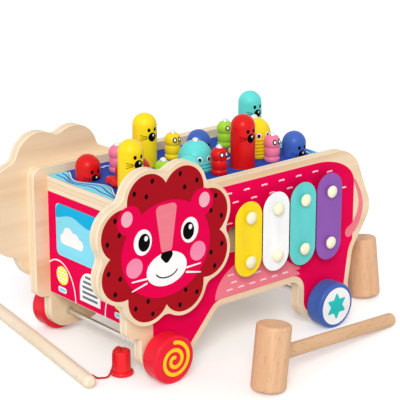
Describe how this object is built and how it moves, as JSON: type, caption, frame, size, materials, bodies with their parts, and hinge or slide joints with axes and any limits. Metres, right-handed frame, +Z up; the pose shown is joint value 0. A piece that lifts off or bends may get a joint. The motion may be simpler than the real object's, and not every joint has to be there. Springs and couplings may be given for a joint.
{
  "type": "whack-a-mole push cart",
  "caption": "Wooden push cart with moles that see-saw under mallet blows, pull-out worms and whales for a magnet rod, scalloped lion plaques and a row of sound bars.",
  "frame": {"origin": "on the floor, midway between the two axles, on the cart's middle plane", "axes": "+Z up; the cart's front faces -X; the sound bars face -Y"},
  "size_m": [0.4018, 0.3534, 0.2264],
  "materials": {
    "plywood": "sanded, clear lacquer, layered edges",
    "red_print": "plywood with a satin printed face",
    "mane_print": "plywood with a satin printed face",
    "deck_print": "plywood with a satin printed face",
    "beech": "sanded, bare",
    "rod_wood": "sanded, bare",
    "steel": "bright",
    "bush_plastic": "satin",
    "felt": "pressed felt",
    "pin_paint": "satin",
    "bar_yellow": "satin lacquer",
    "bar_white": "satin lacquer",
    "bar_teal": "satin lacquer",
    "bar_purple": "satin lacquer",
    "paint_red": "turned wood, satin lacquer",
    "paint_yellow": "turned wood, satin lacquer",
    "paint_teal": "turned wood, satin lacquer",
    "paint_blue": "turned wood, satin lacquer",
    "paint_pink": "turned wood, satin lacquer",
    "paint_green": "turned wood, satin lacquer",
    "wheel_red": "turned wood, gloss lacquer",
    "wheel_blue": "turned wood, gloss lacquer",
    "string": "braided cord",
    "bell_red": "gloss"
  },
  "bodies": {
    "chassis": {"side_panel_near": "plywood", "side_panel_far": "plywood", "slot_backing": "plywood", "front_panel": "red_print", "rear_panel": "red_print", "deck": "deck_print", "base_panel": "plywood", "plaque_near": "mane_print", "plaque_far": "mane_print", "plaque_screws": "steel", "dowels": "beech", "cross_battens": "plywood", "pivot_rod": "steel", "rocker_spacers": "bush_plastic", "bar_yellow": "bar_yellow", "bar_white": "bar_white", "bar_teal": "bar_teal", "bar_purple": "bar_purple", "bar_pins": "pin_paint", "bar_spacers": "felt", "axle_bushes": "bush_plastic"},
    "front_wheels": {"front_axle": "steel", "front_wheel_near": "wheel_red", "front_wheel_far": "wheel_red"},
    "rear_wheels": {"rear_axle": "steel", "rear_wheel_near": "wheel_blue", "rear_wheel_far": "wheel_blue"},
    "rocker_1": {"rocker_1": "beech"},
    "rocker_2": {"rocker_2": "beech"},
    "rocker_3": {"rocker_3": "beech"},
    "rocker_4": {"rocker_4": "beech"},
    "mole_yellow_near": {"mole_yellow_near": "paint_yellow"},
    "mole_red_far": {"mole_red_far": "paint_red"},
    "mole_teal_near": {"mole_teal_near": "paint_teal"},
    "mole_yellow_far": {"mole_yellow_far": "paint_yellow"},
    "mole_red_near": {"mole_red_near": "paint_red"},
    "mole_blue_far": {"mole_blue_far": "paint_blue"},
    "mole_blue_near": {"mole_blue_near": "paint_blue"},
    "mole_teal_far": {"mole_teal_far": "paint_teal"},
    "worm_green_near": {"worm_green_near": "paint_green"},
    "worm_pink_far": {"worm_pink_far": "paint_pink"},
    "worm_red_near": {"worm_red_near": "paint_red"},
    "worm_yellow_far": {"worm_yellow_far": "paint_yellow"},
    "worm_pink_near": {"worm_pink_near": "paint_pink"},
    "worm_green_far": {"worm_green_far": "paint_green"},
    "whale_red": {"whale_red": "paint_red"},
    "whale_teal": {"whale_teal": "paint_teal"},
    "whale_yellow": {"whale_yellow": "paint_yellow"},
    "mallet_a": {"mallet_a_head": "beech", "mallet_a_handle": "beech"},
    "mallet_b": {"mallet_b_head": "beech", "mallet_b_handle": "beech"},
    "rod": {"fishing_rod": "rod_wood", "rod_string": "string", "magnet_bell": "bell_red", "bell_magnet": "steel"}
  },
  "joints": [
    {"name": "front_wheels_spin", "type": "hinge", "parent": "chassis", "child": "front_wheels", "pos_m": [-0.1078, 0, 0.024], "axis": [0, 1, 0], "continuous": true},
    {"name": "rear_wheels_spin", "type": "hinge", "parent": "chassis", "child": "rear_wheels", "pos_m": [0.1078, 0, 0.024], "axis": [0, 1, 0], "continuous": true},
    {"name": "rocker_1_swing", "type": "hinge", "parent": "chassis", "child": "rocker_1", "pos_m": [-0.1055, 0, 0.12425], "axis": [1, 0, 0], "range_deg": [0, 49.45]},
    {"name": "rocker_2_swing", "type": "hinge", "parent": "chassis", "child": "rocker_2", "pos_m": [-0.0345, 0, 0.12425], "axis": [1, 0, 0], "range_deg": [-49.45, 0]},
    {"name": "rocker_3_swing", "type": "hinge", "parent": "chassis", "child": "rocker_3", "pos_m": [0.0365, 0, 0.12425], "axis": [1, 0, 0], "range_deg": [0, 49.45]},
    {"name": "rocker_4_swing", "type": "hinge", "parent": "chassis", "child": "rocker_4", "pos_m": [0.1075, 0, 0.12425], "axis": [1, 0, 0], "range_deg": [-49.45, 0]},
    {"name": "mole_yellow_near_slide", "type": "slide", "parent": "chassis", "child": "mole_yellow_near", "axis": [0, 0, 1], "range_m": [-0.0297, 0]},
    {"name": "mole_red_far_slide", "type": "slide", "parent": "chassis", "child": "mole_red_far", "axis": [0, 0, 1], "range_m": [0, 0.0297]},
    {"name": "mole_teal_near_slide", "type": "slide", "parent": "chassis", "child": "mole_teal_near", "axis": [0, 0, 1], "range_m": [0, 0.0297]},
    {"name": "mole_yellow_far_slide", "type": "slide", "parent": "chassis", "child": "mole_yellow_far", "axis": [0, 0, 1], "range_m": [-0.0297, 0]},
    {"name": "mole_red_near_slide", "type": "slide", "parent": "chassis", "child": "mole_red_near", "axis": [0, 0, 1], "range_m": [-0.0297, 0]},
    {"name": "mole_blue_far_slide", "type": "slide", "parent": "chassis", "child": "mole_blue_far", "axis": [0, 0, 1], "range_m": [0, 0.0297]},
    {"name": "mole_blue_near_slide", "type": "slide", "parent": "chassis", "child": "mole_blue_near", "axis": [0, 0, 1], "range_m": [0, 0.0297]},
    {"name": "mole_teal_far_slide", "type": "slide", "parent": "chassis", "child": "mole_teal_far", "axis": [0, 0, 1], "range_m": [-0.0297, 0]},
    {"name": "worm_green_near_lift", "type": "slide", "parent": "chassis", "child": "worm_green_near", "axis": [0, 0, 1], "range_m": [0, 0.05]},
    {"name": "worm_pink_far_lift", "type": "slide", "parent": "chassis", "child": "worm_pink_far", "axis": [0, 0, 1], "range_m": [0, 0.05]},
    {"name": "worm_red_near_lift", "type": "slide", "parent": "chassis", "child": "worm_red_near", "axis": [0, 0, 1], "range_m": [0, 0.05]},
    {"name": "worm_yellow_far_lift", "type": "slide", "parent": "chassis", "child": "worm_yellow_far", "axis": [0, 0, 1], "range_m": [0, 0.05]},
    {"name": "worm_pink_near_lift", "type": "slide", "parent": "chassis", "child": "worm_pink_near", "axis": [0, 0, 1], "range_m": [0, 0.05]},
    {"name": "worm_green_far_lift", "type": "slide", "parent": "chassis", "child": "worm_green_far", "axis": [0, 0, 1], "range_m": [0, 0.05]},
    {"name": "whale_red_lift", "type": "slide", "parent": "chassis", "child": "whale_red", "axis": [0, 0, 1], "range_m": [0, 0.03]},
    {"name": "whale_teal_lift", "type": "slide", "parent": "chassis", "child": "whale_teal", "axis": [0, 0, 1], "range_m": [0, 0.03]},
    {"name": "whale_yellow_lift", "type": "slide", "parent": "chassis", "child": "whale_yellow", "axis": [0, 0, 1], "range_m": [0, 0.03]},
    {"name": "mallet_a_lift", "type": "slide", "parent": "chassis", "child": "mallet_a", "axis": [0, 0, 1], "range_m": [0, 0.12]},
    {"name": "mallet_b_lift", "type": "slide", "parent": "chassis", "child": "mallet_b", "axis": [0, 0, 1], "range_m": [0, 0.12]},
    {"name": "rod_lift", "type": "slide", "parent": "chassis", "child": "rod", "axis": [-0.8, 0, 0.6], "range_m": [0, 0.12]}
  ],
  "couplings": [
    {"joint": "mole_yellow_near_slide", "follows": "rocker_1_swing", "m_per_rad": -0.034408},
    {"joint": "mole_red_far_slide", "follows": "rocker_1_swing", "m_per_rad": 0.034408},
    {"joint": "mole_teal_near_slide", "follows": "rocker_2_swing", "m_per_rad": -0.034408},
    {"joint": "mole_yellow_far_slide", "follows": "rocker_2_swing", "m_per_rad": 0.034408},
    {"joint": "mole_red_near_slide", "follows": "rocker_3_swing", "m_per_rad": -0.034408},
    {"joint": "mole_blue_far_slide", "follows": "rocker_3_swing", "m_per_rad": 0.034408},
    {"joint": "mole_blue_near_slide", "follows": "rocker_4_swing", "m_per_rad": -0.034408},
    {"joint": "mole_teal_far_slide", "follows": "rocker_4_swing", "m_per_rad": 0.034408}
  ]
}
